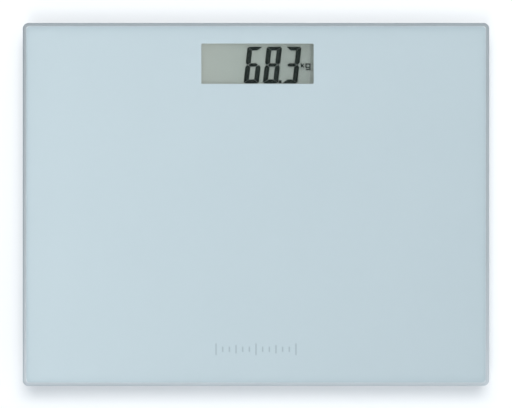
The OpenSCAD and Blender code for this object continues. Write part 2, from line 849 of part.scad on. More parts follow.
// Square spring-steel plate: a slot frees the tongue that the foot's boss presses
module load_cell(c) {
    slot_h = cell_plate_t + 2 * cut;
    color([0.72, 0.73, 0.74]) facing(c) translate([0, 0, cell_bottom]) difference() {
        plate(cell_size, cell_size, 4, cell_plate_t);
        for (y = [-1, 1])
            box_at([-tongue_l / 2, y * (tongue_w + slot_w) / 2 - slot_w / 2, -cut],
                   [tongue_l, slot_w, slot_h]);
        box_at([tongue_l / 2 - slot_w, -(tongue_w + slot_w) / 2, -cut],
               [slot_w, tongue_w + slot_w, slot_h]);
    }
}

// White silicone over the strain gauge, at the root of the tongue
module gauge_seal(c) {
    color([0.95, 0.95, 0.93]) facing(c) translate([seal_x, 0, cell_top])
        plate(seal_size[0], seal_size[1], 1.5, seal_size[2]);
}

function unit(v) = v / norm(v);

// The way a route runs at point i, between the points before and after it
function heading(p, i) = unit(p[min(i + 1, len(p) - 1)] - p[max(i - 1, 0)]);

// Cuts the corners off a route, which makes it smooth
function smoothed(p) = [
    p[0],
    for (i = [0:len(p) - 2]) each [0.75 * p[i] + 0.25 * p[i + 1], 0.25 * p[i] + 0.75 * p[i + 1]],
    p[len(p) - 1]
];

// A route moved sideways, so that wires lie beside each other
function beside(p, step) = [
    for (i = [0:len(p) - 1])
        let (t = heading(p, i)) p[i] + step * unit([-t[1], t[0], 0])
];

function tube_rings(p) = [
    for (i = [0:len(p) - 1])
        let (t = heading(p, i), u = unit(cross([0, 0, 1], t)), v = cross(t, u))
        [for (k = [0:wire_sides - 1])
            let (a = 360 * k / wire_sides) p[i] + wire_r * (cos(a) * u + sin(a) * v)]
];

// Three wires from a load cell to the board
module cell_wires(c) {
    route = smoothed(c[2] > 0 ? REAR_ROUTE : FRONT_ROUTE);
    color([0.75, 0.16, 0.14]) mirror([c[1] < 0 ? 1 : 0, 0, 0])
        for (i = [-1:1]) loft(tube_rings(beside(route, i * wire_pitch)));
}

// ---- Assembly ----

glass_platform();
colour_coat();
printed_mark();
bond_tape();
base_tray();
display_gasket();
lcd_polariser();
lcd_front_glass();
lcd_segments();
lcd_rear_glass();
lcd_reflector();
lcd_holder();
zebra_strip();
main_board();
controller_blob();
board_parts();
solder_joints();
board_screws();
tact_switch();
switch_plunger();
unit_button();
coin_cell();
contact_plus();
contact_minus();
battery_cover();
for (c = CORNERS) {
    at_corner(c) foot_shell();
    at_corner(c) foot_pad();
    at_corner(c) foot_collar();
    at_corner(c) collar_screws();
    at_corner(c) load_cell(c);
    at_corner(c) gauge_seal(c);
    cell_wires(c);
}
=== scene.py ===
"""Electronic bathroom scale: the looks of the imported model, its studio and its camera."""

import json
import math

import bmesh
import bpy
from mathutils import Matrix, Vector

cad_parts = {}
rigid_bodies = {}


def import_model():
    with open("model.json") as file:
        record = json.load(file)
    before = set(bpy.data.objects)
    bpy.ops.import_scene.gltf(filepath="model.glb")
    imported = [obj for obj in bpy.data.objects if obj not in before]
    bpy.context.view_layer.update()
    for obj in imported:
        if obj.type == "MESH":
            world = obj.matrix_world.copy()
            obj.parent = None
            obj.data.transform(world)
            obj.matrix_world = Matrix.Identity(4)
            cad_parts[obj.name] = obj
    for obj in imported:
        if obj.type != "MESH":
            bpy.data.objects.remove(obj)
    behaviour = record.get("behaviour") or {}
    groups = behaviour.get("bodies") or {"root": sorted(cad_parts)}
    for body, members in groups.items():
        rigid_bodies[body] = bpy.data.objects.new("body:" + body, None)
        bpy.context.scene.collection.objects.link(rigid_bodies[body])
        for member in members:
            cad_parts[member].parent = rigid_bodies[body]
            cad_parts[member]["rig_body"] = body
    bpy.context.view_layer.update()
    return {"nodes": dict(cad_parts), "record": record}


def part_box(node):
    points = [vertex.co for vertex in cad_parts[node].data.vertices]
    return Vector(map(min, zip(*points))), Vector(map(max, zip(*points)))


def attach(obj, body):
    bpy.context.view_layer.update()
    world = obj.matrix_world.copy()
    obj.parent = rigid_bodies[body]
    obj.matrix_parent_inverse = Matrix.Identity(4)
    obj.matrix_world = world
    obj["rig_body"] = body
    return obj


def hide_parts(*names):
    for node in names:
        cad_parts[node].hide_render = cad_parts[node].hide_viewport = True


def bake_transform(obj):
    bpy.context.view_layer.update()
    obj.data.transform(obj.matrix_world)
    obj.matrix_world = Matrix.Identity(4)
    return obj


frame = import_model()
CAD = frame["nodes"]
SLOT_OF = {part["node"]: part["material_slot"] for part in frame["record"]["subparts"]}
CORNERS = ("front_left", "front_right", "rear_left", "rear_right")
MM = 0.001


# ---- Materials ----


class Surface:
    """One material's node tree, with short calls for the nodes that the recipes share."""

    def __init__(self, name, colour=(0.8, 0.8, 0.8), rough=0.5, metal=0.0):
        self.material = bpy.data.materials.new(name)
        self.material.use_nodes = True
        self.tree = self.material.node_tree
        self.tree.nodes.clear()
        self.output = self.add("ShaderNodeOutputMaterial")
        self.shader = self.add("ShaderNodeBsdfPrincipled")
        self.join(self.shader.outputs[0], self.output.inputs["Surface"])
        self.set("Base Color", (*colour, 1))
        self.set("Roughness", rough)
        self.set("Metallic", metal)
        self.place = self.add("ShaderNodeTexCoord").outputs["Object"]

    def add(self, kind, **settings):
        node = self.tree.nodes.new(kind)
        for key, value in settings.items():
            setattr(node, key, value)
        return node

    def join(self, start, end):
        self.tree.links.new(start, end)

    def set(self, socket, value):
        """A plain value on the shader, or a link to it."""
        if isinstance(value, bpy.types.NodeSocket):
            self.join(value, self.shader.inputs[socket])
        else:
            self.shader.inputs[socket].default_value = value

    def stretched(self, scale):
        """Coordinates scaled differently along each axis, for brushing and moulding flow."""
        mapping = self.add("ShaderNodeMapping")
        mapping.inputs["Scale"].default_value = scale
        self.join(self.place, mapping.inputs["Vector"])
        return mapping.outputs[0]

    def along(self, axis, node):
        """0 to 1 from one end of a CAD node to the other, along an axis."""
        split = self.add("ShaderNodeSeparateXYZ")
        self.join(self.place, split.inputs[0])
        span = self.add("ShaderNodeMapRange")
        self.join(split.outputs[axis], span.inputs["Value"])
        for end, corner in zip(("From Min", "From Max"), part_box(node)):
            span.inputs[end].default_value = getattr(corner, axis.lower())
        return span.outputs[0]

    def noise(self, size, detail=2.0, place=None):
        """Noise whose largest features are about size millimetres across."""
        node = self.add("ShaderNodeTexNoise")
        node.inputs["Scale"].default_value = 1 / (size * MM)
        node.inputs["Detail"].default_value = detail
        self.join(place or self.place, node.inputs["Vector"])
        return node.outputs["Fac"]

    def cells(self, size, output="Color", feature="F1"):
        """Cells about size millimetres across."""
        node = self.add("ShaderNodeTexVoronoi", feature=feature)
        node.inputs["Scale"].default_value = 1 / (size * MM)
        self.join(self.place, node.inputs["Vector"])
        return node.outputs[output]

    def ramp(self, factor, *stops):
        """Colours or grey levels along factor, from (position, value) pairs."""
        node = self.add("ShaderNodeValToRGB")
        while len(node.color_ramp.elements) < len(stops):
            node.color_ramp.elements.new(1.0)
        for element, (position, value) in zip(node.color_ramp.elements, stops):
            element.position = position
            grey = isinstance(value, (int, float))
            element.color = (value, value, value, 1) if grey else (*value, 1)
        self.join(factor, node.inputs["Fac"])
        return node.outputs["Color"]

    def blend(self, factor, first, second):
        """Colour mixed from first to second."""
        node = self.add("ShaderNodeMix", data_type="RGBA")
        for socket, value in ((node.inputs[0], factor), (node.inputs[6], first), (node.inputs[7], second)):
            if isinstance(value, bpy.types.NodeSocket):
                self.join(value, socket)
            elif isinstance(value, tuple):
                socket.default_value = (*value, 1)
            else:
                socket.default_value = value
        return node.outputs[2]

    def calculate(self, operation, first, second):
        """One step of arithmetic on two values or sockets."""
        node = self.add("ShaderNodeMath", operation=operation)
        for socket, value in zip(node.inputs, (first, second)):
            if isinstance(value, bpy.types.NodeSocket):
                self.join(value, socket)
            else:
                socket.default_value = value
        return node.outputs[0]

    def relief(self, height, depth, strength=1.0, below=None):
        """Bump of depth millimetres, on top of another bump where one is given."""
        node = self.add("ShaderNodeBump")
        node.inputs["Strength"].default_value = strength
        node.inputs["Distance"].default_value = depth * MM
        self.join(height, node.inputs["Height"])
        if below:
            self.join(below, node.inputs["Normal"])
        self.join(node.outputs[0], self.shader.inputs["Normal"])
        return node.outputs[0]

    def worn_edge(self, colour, worn, reach=0.25, amount=0.5):
        """Colour that turns to worn along convex edges, broken up by noise."""
        bevel = self.add("ShaderNodeBevel", samples=4)
        bevel.inputs["Radius"].default_value = reach * MM
        geometry = self.add("ShaderNodeNewGeometry")
        dot = self.add("ShaderNodeVectorMath", operation="DOT_PRODUCT")
        self.join(bevel.outputs[0], dot.inputs[0])
        self.join(geometry.outputs["Normal"], dot.inputs[1])
        edge = self.ramp(dot.outputs["Value"], (0.90, 1.0), (0.995, 0.0))
        patchy = self.ramp(self.noise(2.5, 3), (0.45, 0.0), (0.6, amount))
        return self.blend(self.calculate("MULTIPLY", edge, patchy), colour, worn)

    def let_lamps_through(self, tint):
        """Glass that light passes straight through on its way to what lies behind."""
        clear = self.add("ShaderNodeBsdfTransparent")
        clear.inputs["Color"].default_value = (*tint, 1)
        path = self.add("ShaderNodeLightPath")
        either = self.calculate("MAXIMUM", path.outputs["Is Shadow Ray"], path.outputs["Is Diffuse Ray"])
        mix = self.add("ShaderNodeMixShader")
        self.join(either, mix.inputs[0])
        self.join(self.shader.outputs[0], mix.inputs[1])
        self.join(clear.outputs[0], mix.inputs[2])
        self.join(mix.outputs[0], self.output.inputs["Surface"])


def clear_glass():
    """Polished float glass, slightly green in its depth, with faint roller waves."""
    s = Surface("clear_glass", (0.975, 0.992, 0.99), 0.015)
    s.set("Transmission Weight", 1.0)
    s.set("IOR", 1.52)
    s.relief(s.noise(38, 1, s.stretched((1.0, 0.35, 1.0))), 0.004)
    s.let_lamps_through((0.985, 0.995, 0.993))
    return s.material


def ground_glass():
    """The plate's pencil edge, ground along its length and left satin grey, with painted light that makes
    it paler at the front and darker at the rear.
    """
    s = Surface("ground_glass", rough=0.45)
    # Painted light: the grey runs from pale at the front to dark at the rear, standing in for how the lamps
    # fall on the edge.
    s.set("Base Color", s.ramp(
        s.along("Y", "glass_platform"),
        (0.0, (0.47, 0.505, 0.53)),
        (0.12, (0.42, 0.455, 0.48)),
        (0.35, (0.365, 0.40, 0.42)),
        (1.0, (0.315, 0.348, 0.367)),
    ))
    s.set("Transmission Weight", 0.2)
    s.set("IOR", 1.52)
    wheel = s.noise(1.6, 4, s.stretched((0.25, 0.25, 3.0)))
    s.set("Roughness", s.ramp(wheel, (0.3, 0.42), (0.7, 0.48)))
    s.relief(s.noise(0.25, 3), 0.01)
    s.let_lamps_through((0.75, 0.79, 0.81))
    return s.material


def platform_coat():
    """Screen-printed enamel with fine aluminium flakes, seen through the glass."""
    s = Surface("platform_coat", rough=0.4, metal=0.2)
    flakes = s.ramp(s.cells(0.16), (0.0, 0.0), (1.0, 1.0))
    cloud = s.noise(60, 3)
    base = s.blend(cloud, (0.466, 0.543, 0.576), (0.484, 0.560, 0.592))
    fine = s.noise(0.45, 2)
    s.set("Base Color", s.blend(s.ramp(fine, (0.35, 0.0), (0.7, 0.22)), base, (0.521, 0.594, 0.624)))
    s.set("Roughness", s.ramp(flakes, (0.0, 0.36), (1.0, 0.5)))
    s.set("IOR", 1.5)
    s.relief(s.noise(0.12, 1), 0.004, 0.5)
    return s.material


def mark_ink():
    """Grey ink of the graduation ticks, with the mesh of the printing screen in it."""
    s = Surface("mark_ink", rough=0.5)
    screen = s.noise(0.3, 2)
    s.set("Base Color", s.blend(screen, (0.335, 0.395, 0.43), (0.40, 0.465, 0.50)))
    s.set("IOR", 1.12)
    s.relief(screen, 0.005)
    return s.material


def foam_tape():
    """White closed-cell foam tape."""
    s = Surface("foam_tape", rough=0.9)
    pores = s.cells(0.35, "Distance")
    s.set("Base Color", s.ramp(pores, (0.0, (0.60, 0.60, 0.58)), (0.5, (0.84, 0.84, 0.82))))
    s.relief(pores, 0.06)
    return s.material


def spark_plastic(name, dark, light, rough, worn):
    """Moulded plastic with a fine spark-eroded grain, flow clouds and edges rubbed paler."""
    s = Surface(name, rough=rough)
    cloud = s.noise(35, 4)
    grain = s.noise(0.7, 3)
    speck = tuple(0.88 * c for c in dark)
    base = s.blend(s.ramp(grain, (0.35, 0.38), (0.55, 0.0)), s.blend(cloud, dark, light), speck)
    s.set("Base Color", s.worn_edge(base, worn))
    s.set("Roughness", s.ramp(grain, (0.3, rough - 0.08), (0.7, rough + 0.12)))
    coarse = s.relief(s.cells(0.9, "Distance", "SMOOTH_F1"), 0.02, 0.7)
    s.relief(grain, 0.06, 0.9, coarse)
    return s.material


def case_plastic():
    dark, light, worn = (0.545, 0.575, 0.60), (0.605, 0.635, 0.655), (0.70, 0.725, 0.745)
    return spark_plastic("case_plastic", dark, light, 0.5, worn)


def foot_plastic():
    dark, light, worn = (0.39, 0.415, 0.44), (0.43, 0.455, 0.475), (0.52, 0.54, 0.56)
    return spark_plastic("foot_plastic", dark, light, 0.46, worn)


def grey_plastic():
    dark, light, worn = (0.125, 0.142, 0.16), (0.15, 0.168, 0.188), (0.24, 0.26, 0.28)
    return spark_plastic("grey_plastic", dark, light, 0.42, worn)


def black_plastic():
    dark, light, worn = (0.018, 0.018, 0.02), (0.026, 0.026, 0.029), (0.06, 0.06, 0.065)
    return spark_plastic("black_plastic", dark, light, 0.4, worn)


def holder_plastic():
    dark, light, worn = (0.76, 0.76, 0.71), (0.81, 0.81, 0.77), (0.86, 0.86, 0.83)
    return spark_plastic("holder_plastic", dark, light, 0.45, worn)


def red_plastic():
    dark, light, worn = (0.46, 0.055, 0.035), (0.53, 0.075, 0.05), (0.62, 0.16, 0.12)
    return spark_plastic("red_plastic", dark, light, 0.35, worn)


def dark_foam():
    """Open dark foam of the display's gasket."""
    s = Surface("dark_foam", rough=0.95)
    pores = s.cells(0.22, "Distance")
    s.set("Base Color", s.ramp(pores, (0.0, (0.03, 0.031, 0.033)), (0.5, (0.08, 0.082, 0.086))))
    s.relief(pores, 0.05)
    return s.material


def polariser_film():
    """Satin front polariser, a neutral grey-green with an anti-glare grain."""
    s = Surface("polariser_film", (0.83, 0.845, 0.83), 0.12)
    s.set("Transmission Weight", 1.0)
    s.set("IOR", 1.36)
    s.relief(s.noise(0.14, 2), 0.0012, 0.4)
    s.let_lamps_through((0.83, 0.845, 0.83))
    return s.material


def thin_glass():
    """Thin display glass with a faint waviness."""
    s = Surface("thin_glass", (0.985, 0.995, 0.99), 0.02)
    s.set("Transmission Weight", 1.0)
    s.set("IOR", 1.2)
    s.relief(s.noise(12, 1), 0.002)
    s.let_lamps_through((0.985, 0.995, 0.99))
    return s.material


def display_ink():
    """Switched liquid crystal: nearly black, slightly green, a little uneven."""
    s = Surface("display_ink", rough=0.5)
    s.set("Base Color", s.blend(s.noise(1.5, 2), (0.010, 0.016, 0.013), (0.018, 0.025, 0.021)))
    s.set("IOR", 1.15)
    return s.material


def display_reflector():
    """Brushed reflector with painted light that makes it paler to the left and darker towards the right,
    and a narrow dark band at the right end.

    The polariser over it turns it grey-green."""
    s = Surface("display_reflector", rough=0.55)
    # Painted light: the stops fall from pale at the left to darker at the right, as light falls across the
    # display; the last stop is the dark band at the right end.
    base = s.ramp(
        s.along("X", "lcd_reflector"),
        (0.0, (0.755, 0.705, 0.70)),
        (0.32, (0.68, 0.65, 0.645)),
        (0.60, (0.60, 0.58, 0.575)),
        (0.930, (0.54, 0.52, 0.52)),
        (0.945, (0.38, 0.37, 0.37)),
    )
    brushed = s.noise(0.8, 3, s.stretched((0.15, 2.5, 1.0)))
    s.set("Base Color", s.blend(s.ramp(brushed, (0.3, 0.0), (0.7, 0.12)), base, (0.66, 0.72, 0.67)))
    s.relief(brushed, 0.004)
    return s.material


def dark_rubber():
    """Striped elastomer of the display's connector."""
    s = Surface("dark_rubber", rough=0.7)
    wave = s.add("ShaderNodeTexWave", bands_direction="X")
    wave.inputs["Scale"].default_value = 1 / (4.0 * MM)
    s.join(s.place, wave.inputs["Vector"])
    s.set("Base Color", s.blend(wave.outputs["Fac"], (0.03, 0.03, 0.033), (0.13, 0.13, 0.14)))
    s.relief(s.noise(0.3), 0.01)
    return s.material


def pad_rubber():
    """Dark moulded rubber with patches of dust and scuffed edges."""
    s = Surface("pad_rubber", rough=0.75)
    grain = s.noise(0.5, 4)
    dust = s.ramp(s.noise(5, 4), (0.5, 0.0), (0.75, 0.35))
    base = s.blend(grain, (0.034, 0.037, 0.041), (0.052, 0.056, 0.062))
    s.set("Base Color", s.worn_edge(s.blend(dust, base, (0.12, 0.122, 0.125)), (0.10, 0.104, 0.11), 0.3))
    s.set("Roughness", s.ramp(grain, (0.3, 0.62), (0.7, 0.85)))
    s.relief(grain, 0.03)
    return s.material


def board_laminate():
    """Green solder mask over faint copper tracks and glass weave."""
    s = Surface("board_laminate", rough=0.28)
    tracks = s.add("ShaderNodeTexBrick", offset=0.37)
    tracks.inputs["Scale"].default_value = 1 / (9.0 * MM)
    tracks.inputs["Mortar Size"].default_value = 0.035
    tracks.inputs["Mortar Smooth"].default_value = 0.1
    tracks.inputs["Brick Width"].default_value = 0.9
    tracks.inputs["Row Height"].default_value = 0.16
    s.join(s.place, tracks.inputs["Vector"])
    weave = s.noise(0.4, 2)
    mask = s.blend(weave, (0.020, 0.115, 0.052), (0.030, 0.145, 0.068))
    s.set("Base Color", s.blend(tracks.outputs["Fac"], mask, (0.055, 0.23, 0.10)))
    s.relief(tracks.outputs["Fac"], 0.03)
    return s.material


def black_resin():
    """Poured epoxy with shallow flow marks."""
    s = Surface("black_resin", rough=0.22)
    flow = s.noise(2.5, 3)
    s.set("Base Color", s.blend(flow, (0.009, 0.009, 0.010), (0.018, 0.018, 0.020)))
    s.relief(flow, 0.08)
    return s.material


def chip_ceramic():
    """Fired ceramic with speckles."""
    s = Surface("chip_ceramic", rough=0.5)
    s.set("Base Color", s.blend(s.noise(0.3, 3), (0.11, 0.078, 0.05), (0.19, 0.14, 0.095)))
    s.relief(s.noise(0.2, 2), 0.01)
    return s.material


def metal(name, dark, light, rough, lay, depth):
    """Metal with a lay of fine brush marks and cloudy tarnish."""
    s = Surface(name, rough=rough, metal=1.0)
    tarnish = s.noise(6, 4)
    marks = s.noise(0.5, 4, s.stretched(lay))
    s.set("Base Color", s.blend(tarnish, dark, light))
    s.set("Roughness", s.ramp(marks, (0.3, rough - 0.07), (0.7, rough + 0.1)))
    s.relief(marks, depth)
    return s.material


def solder():
    return metal("solder", (0.56, 0.57, 0.59), (0.68, 0.69, 0.71), 0.25, (1, 1, 1), 0.02)


def plated_steel():
    return metal("plated_steel", (0.56, 0.565, 0.57), (0.66, 0.665, 0.67), 0.24, (1.0, 0.2, 1.0), 0.004)


def spring_steel():
    return metal("spring_steel", (0.42, 0.425, 0.43), (0.52, 0.525, 0.53), 0.34, (0.15, 2.0, 1.0), 0.01)


def contact_brass():
    return metal("contact_brass", (0.56, 0.44, 0.20), (0.68, 0.57, 0.30), 0.28, (0.3, 1.5, 1.0), 0.006)


def white_silicone():
    """Poured silicone over the strain gauge."""
    s = Surface("white_silicone", rough=0.42)
    flow = s.noise(3, 3)
    s.set("Base Color", s.blend(flow, (0.74, 0.74, 0.70), (0.84, 0.84, 0.81)))
    s.set("Subsurface Weight", 0.15)
    s.set("Subsurface Scale", 0.001)
    s.relief(flow, 0.08)
    return s.material


def wire_sleeve():
    """Soft red insulation with a slight bloom."""
    s = Surface("wire_sleeve", rough=0.38)
    red = (0.50, 0.030, 0.020)
    pale = tuple(c * 1.25 + 0.02 for c in red)
    s.set("Base Color", s.blend(s.noise(3, 3), red, pale))
    s.relief(s.noise(0.5, 2), 0.01)
    return s.material


def label_foil():
    """Blank satin polyester of the rating plate."""
    s = Surface("label_foil", rough=0.34)
    brush = s.noise(0.7, 3, s.stretched((0.08, 2.0, 1.0)))
    s.set("Base Color", s.blend(s.noise(18, 2), (0.74, 0.75, 0.755), (0.80, 0.805, 0.81)))
    s.set("Roughness", s.ramp(brush, (0.3, 0.27), (0.7, 0.42)))
    s.relief(brush, 0.003)
    return s.material


RECIPES = (
    clear_glass, platform_coat, mark_ink, foam_tape, case_plastic, dark_foam, polariser_film, thin_glass,
    display_ink, display_reflector, holder_plastic, dark_rubber, board_laminate, black_resin, chip_ceramic,
    solder, plated_steel, black_plastic, red_plastic, grey_plastic, contact_brass, foot_plastic, pad_rubber,
    spring_steel, white_silicone, wire_sleeve,
)
FINISH = {recipe.__name__: recipe() for recipe in RECIPES}


# ---- Pieces ----


def dress(node):
    """Gives a CAD node that stays in view its slot's material."""
    for slot in CAD[node].material_slots:
        slot.material = FINISH[SLOT_OF[node]]


def add_piece(name, data, node, *materials, rides=True):
    """Links a piece that stands for a CAD node, on that node's body unless rides is false."""
    piece = bpy.data.objects.new(name, data)
    bpy.context.scene.collection.objects.link(piece)
    for material in materials or (FINISH[SLOT_OF[node]],):
        data.materials.append(material)
    if rides:
        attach(piece, CAD[node]["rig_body"])
    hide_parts(node)
    return piece


def clean_copy(node):
    """A CAD node's mesh, closed, and with its flat faces whole."""
    mesh = bmesh.new()
    mesh.from_mesh(CAD[node].data)
    bmesh.ops.remove_doubles(mesh, verts=mesh.verts, dist=0.001 * MM)
    flat = math.radians(0.5)
    bmesh.ops.dissolve_limit(
        mesh, angle_limit=flat, use_dissolve_boundaries=False, verts=mesh.verts, edges=mesh.edges
    )
    return mesh


def baked(mesh, name):
    """Turns a working mesh into mesh data of that name, and frees it."""
    data = bpy.data.meshes.new(name)
    mesh.to_mesh(data)
    mesh.free()
    return data


def settle(piece):
    """Applies a piece's modifiers."""
    bpy.context.view_layer.update()
    shaped = bpy.data.meshes.new_from_object(piece.evaluated_get(bpy.context.evaluated_depsgraph_get()))
    shaped.name = piece.name
    piece.modifiers.clear()
    piece.data = shaped


def soften(piece, width, steps=2):
    """Rounds the sharp edges of a piece, width in millimetres, and shades it smooth."""
    for face in piece.data.polygons:
        face.use_smooth = True
    bevel = piece.modifiers.new("rounding", "BEVEL")
    bevel.width = width * MM
    bevel.segments = steps
    bevel.limit_method = "ANGLE"
    bevel.angle_limit = math.radians(40)
    bevel.use_clamp_overlap = False
    even_normals(piece)


def even_normals(piece):
    """Applies a piece's modifiers, with normals that leave its flat faces flat."""
    own = piece.data.attributes.get("custom_normal")
    if own:
        piece.data.attributes.remove(own)
    normals = piece.modifiers.new("normals", "WEIGHTED_NORMAL")
    normals.keep_sharp = True
    settle(piece)


def rounded(node, width, steps=2, name=None, rides=True):
    """A CAD node's shape with its edges rounded, as a real moulding or stamping has them."""
    name = name or node + "_piece"
    piece = add_piece(name, baked(clean_copy(node), name), node, rides=rides)
    soften(piece, width, steps)
    return piece


def cut(mesh, place, way):
    """Adds the edges where a plane through place, square to way, crosses a mesh."""
    parts = [*mesh.verts, *mesh.edges, *mesh.faces]
    bmesh.ops.bisect_plane(mesh, geom=parts, dist=1e-7, plane_co=place, plane_no=way)


def keep_part(piece, places, out, wanted=lambda face: True):
    """Cuts a piece at places, square to out, keeps the wanted faces and closes what is left."""
    mesh = bmesh.new()
    mesh.from_mesh(piece.data)
    for place in places:
        cut(mesh, place, out)
    bmesh.ops.delete(mesh, geom=[face for face in mesh.faces if not wanted(face)], context="FACES")
    bmesh.ops.holes_fill(mesh, edges=[edge for edge in mesh.edges if edge.is_boundary])
    mesh.to_mesh(piece.data)
    mesh.free()
    even_normals(piece)


def turn(steps):
    """Angles of a quarter turn."""
    return [math.pi / 2 * i / steps for i in range(steps + 1)]


def ring(w, d, r, z, steps):
    """A rounded rectangle about the Z axis, its sizes in millimetres, counter-clockwise from above."""
    points = []
    for quarter, (sx, sy) in enumerate(((1, 1), (-1, 1), (-1, -1), (1, -1))):
        for part in turn(steps):
            a = math.pi / 2 * quarter + part
            x = sx * (w / 2 - r) + r * math.cos(a)
            y = sy * (d / 2 - r) + r * math.sin(a)
            points.append(Vector((x, y, z)) * MM)
    return points


def loft(rings, name):
    """A closed skin over a stack of rings, from the lowest up."""
    mesh = bmesh.new()
    rows = [[mesh.verts.new(p) for p in r] for r in rings]
    count = len(rows[0])
    mesh.faces.new(list(reversed(rows[0])))
    mesh.faces.new(rows[-1])
    for low, high in zip(rows, rows[1:]):
        for i in range(count):
            j = (i + 1) % count
            mesh.faces.new((low[i], low[j], high[j], high[i]))
    data = baked(mesh, name)
    for face in data.polygons:
        face.use_smooth = True
    return data


def make_platform_glass():
    """The tempered plate: polished faces, and a ground edge rounded over at the top and the bottom.

    Its underside lies a hair below the top of the coat, so the coat shows as bonded to the glass."""
    lo, hi = (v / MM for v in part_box("glass_platform"))
    w, d = hi.x - lo.x, hi.y - lo.y
    bottom, top = lo.z - 0.02, hi.z
    edge, corner = 1.9, 3.5
    flat = edge + 0.2
    profile = [(flat, bottom)]
    profile += [(edge * (1 - math.sin(a)), bottom + edge * (1 - math.cos(a))) for a in turn(8)]
    profile += [(edge * (1 - math.cos(a)), top - edge * (1 - math.sin(a))) for a in turn(8)]
    profile += [(flat, top)]
    rings = [ring(w - 2 * inset, d - 2 * inset, corner - inset, z, 14) for inset, z in profile]
    data = loft(rings, "platform_glass")
    piece = add_piece("platform_glass", data, "glass_platform", FINISH["clear_glass"], ground_glass())
    for face in data.polygons:
        face.material_index = 0 if abs(face.normal.z) > 0.9999 else 1
    even_normals(piece)


def make_coat():
    """The coat, in a wide field and a narrow rim round its window.

    The rim and the gasket under it cast no shadow, so the display is as bright at its edge as inside."""
    lo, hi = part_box("display_gasket")
    reach = Vector((1.5, 1.5, 0)) * MM
    lo, hi = lo - reach, hi + reach
    hair = 0.001 * MM

    def near_window(face):
        return all(lo[i] - hair < vert.co[i] < hi[i] + hair for vert in face.verts for i in (0, 1))

    for name, rim in (("coat_field", False), ("coat_rim", True)):
        mesh = clean_copy("colour_coat")
        for corner in (lo, hi):
            for way in (Vector((1, 0, 0)), Vector((0, 1, 0))):
                cut(mesh, corner, way)
        others = [face for face in mesh.faces if near_window(face) != rim]
        bmesh.ops.delete(mesh, geom=others, context="FACES")
        bmesh.ops.bridge_loops(mesh, edges=[edge for edge in mesh.edges if edge.is_boundary])
        bmesh.ops.recalc_face_normals(mesh, faces=mesh.faces)
        add_piece(name, baked(mesh, name), "colour_coat").visible_shadow = not rim
    CAD["display_gasket"].visible_shadow = False


def make_display():
    """The display's layers, each a hair thinner than its place so that none share a face."""
    for node, name, width in (
        ("lcd_polariser", "polariser", 0.03),
        ("lcd_front_glass", "front_glass", 0.08),
        ("lcd_segments", "segments", 0.0),
        ("lcd_rear_glass", "rear_glass", 0.08),
        ("lcd_reflector", "reflector", 0.03),
    ):
        mesh = clean_copy(node)
        lo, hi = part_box(node)
        middle, hair = (lo.z + hi.z) / 2, 0.012 * MM
        for vert in mesh.verts:
            vert.co.z += hair if vert.co.z < middle else -hair
        piece = add_piece("display_" + name, baked(mesh, "display_" + name), node)
        if width:
            soften(piece, width)


def make_case():
    """The mouldings of the underside and the collars' screws, with no edge left sharp."""
    rounded("base_tray", 0.3, name="case_shell")
    rounded("battery_cover", 0.2, name="battery_door")
    rounded("unit_button", 0.25, 3, name="unit_key")
    for corner in CORNERS:
        rounded("foot_collar_" + corner, 0.25, name="collar_" + corner)
        rounded("foot_shell_" + corner, 0.25, name="shell_" + corner)
        rounded("foot_pad_" + corner, 0.3, 3, name="pad_" + corner)
        rounded("collar_screws_" + corner, 0.08, name="screws_" + corner)


def make_inside():
    """What is inside the case and what is printed under the glass."""
    for node, width in (
        ("lcd_holder", 0.15), ("board_screws", 0.08), ("tact_switch", 0.1), ("switch_plunger", 0.1),
        ("board_parts", 0.08), ("coin_cell", 0.3), ("contact_plus", 0.05), ("contact_minus", 0.05),
        ("main_board", 0.1), ("zebra_strip", 0.1), ("bond_tape", 0.1),
    ):
        rounded(node, width)
    for corner in CORNERS:
        make_load_cell(corner)
        make_wires(corner)
    for node in ("printed_mark", "display_gasket", "controller_blob", "solder_joints"):
        dress(node)


def make_load_cell(corner):
    """A load cell's plate on the case, and its tongue and the gauge seal as pieces that ride on no body.

    Distances run outward from the cell's middle. Tongue and seal are cut across at even steps from the
    tongue's root to the foot's boss, and the slots round the tongue are crossed at their middle."""
    node = "load_cell_" + corner
    lo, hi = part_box(node)
    middle = (lo + hi) / 2
    out = Vector((math.copysign(1, middle.x), 0, 0))
    root, boss, soft_end, slot_end, slot_side, steps = -9.5, -4.2, 3.5, 9, 6.5, 8
    bends = [middle + out * MM * (root + (boss - root) * i / steps) for i in range(steps + 1)]

    def in_tongue(face):
        places = [(vert.co - middle) / MM for vert in face.verts]
        return all(root - 0.01 < place.dot(out) < slot_end and abs(place.y) < slot_side for place in places)

    keep_part(rounded(node, 0.12), bends[:1], out, lambda face: not in_tongue(face))
    tongue = rounded(node, 0.12, name="cell_tongue_" + corner, rides=False)
    keep_part(tongue, bends, out, in_tongue)
    seal = rounded("gauge_seal_" + corner, 0.3, 3, rides=False)
    keep_part(seal, bends, out)
    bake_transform(tongue)
    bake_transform(seal)


def make_wires(corner):
    """The three wires of one load cell, all in red sleeves.

    The one that ends furthest back on the board keeps its facets. The other two are shaded smooth."""
    node = "cell_wires_" + corner
    mesh = clean_copy(node)
    start = min(mesh.verts, key=lambda v: (round(abs(v.co.x) / MM, 1), -v.co.y))
    todo, faceted = [start], {start}
    while todo:
        for edge in todo.pop().link_edges:
            for vert in edge.verts:
                if vert not in faceted:
                    faceted.add(vert)
                    todo.append(vert)
    for face in mesh.faces:
        if face.verts[0] not in faceted:
            face.smooth = True
    add_piece("wires_" + corner, baked(mesh, "wires_" + corner), node)


